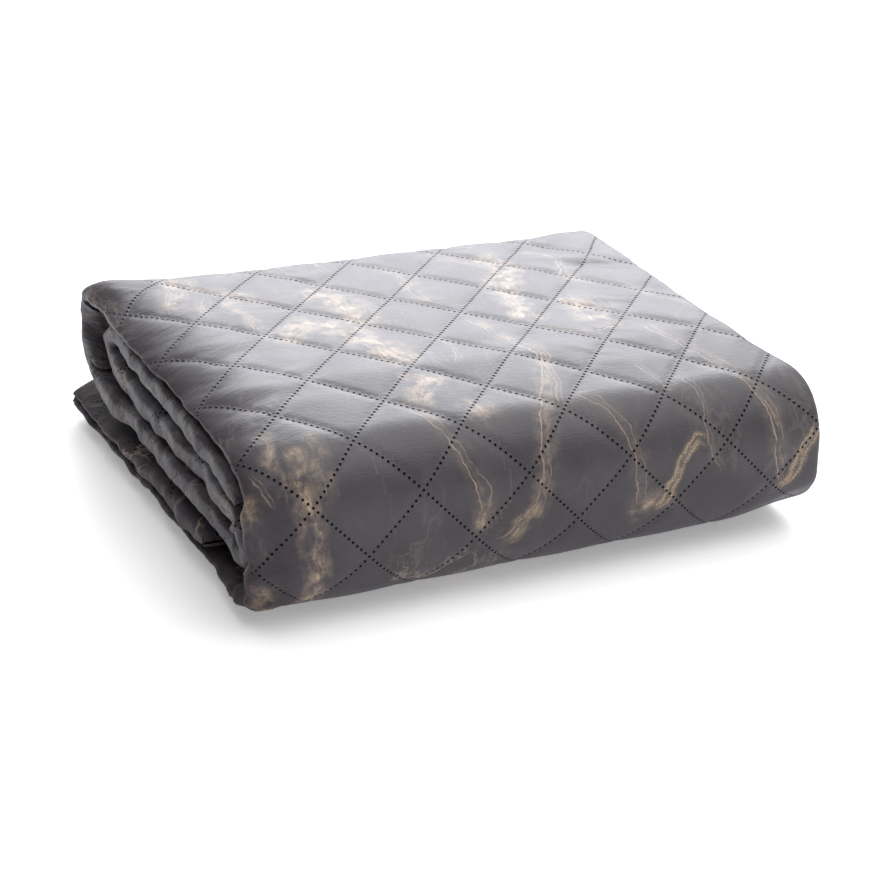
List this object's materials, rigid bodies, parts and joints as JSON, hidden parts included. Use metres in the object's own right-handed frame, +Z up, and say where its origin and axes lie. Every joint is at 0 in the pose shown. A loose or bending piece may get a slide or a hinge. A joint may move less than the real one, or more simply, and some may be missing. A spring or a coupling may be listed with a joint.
{
  "type": "folded quilted bedspread",
  "caption": "Quilted bedspread folded into a thick flat pack, with a smooth wrapped front and folds showing at its open end.",
  "frame": {"origin": "on the surface the pack lies on, under the middle of its box", "axes": "+Z up, +X along the wrapped front to its right-hand end, -Y out of the wrapped front"},
  "size_m": [0.4594, 0.4204, 0.1393],
  "materials": {
    "cloth": "dark grey satin microfibre with a pale and gold veined print, dot-welded in diamonds"
  },
  "bodies": {
    "root": {"bedspread": "cloth"}
  },
  "joints": []
}
